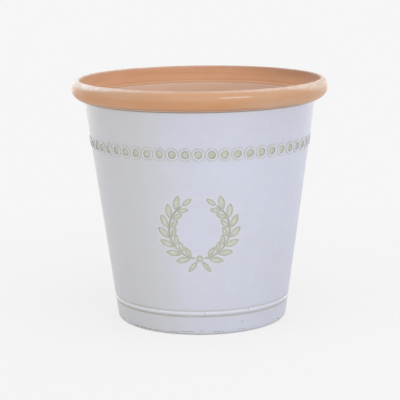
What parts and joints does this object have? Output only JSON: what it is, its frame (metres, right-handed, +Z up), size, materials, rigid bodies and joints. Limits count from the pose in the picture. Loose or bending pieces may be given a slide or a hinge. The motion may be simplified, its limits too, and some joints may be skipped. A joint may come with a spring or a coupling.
{
  "type": "round planter",
  "caption": "Round tapered clay planter with a rolled bare rim, painted wall with a ring band and impressed wreath, beaded base and drain hole; stands on the floor and holds a plant.",
  "frame": {"origin": "centre of the underside, on the plane the pot stands on", "axes": "+Z up along the pot's axis, -Y towards the front with the wreath, +X to the right seen from the front"},
  "size_m": [0.3622, 0.3622, 0.344],
  "materials": {
    "painted_clay": "matte",
    "bare_clay": "matte",
    "tan_slip": "matte"
  },
  "bodies": {
    "root": {"foot_ring": "painted_clay", "pot_wall": "painted_clay", "base_bead": "painted_clay", "band_rings": "painted_clay", "rim_collar": "bare_clay", "floor_slab": "bare_clay", "bead_lines": "tan_slip", "ring_centres": "tan_slip", "wreath_leaves": "tan_slip", "wreath_stems": "tan_slip", "wreath_ribbon": "tan_slip"}
  },
  "joints": []
}
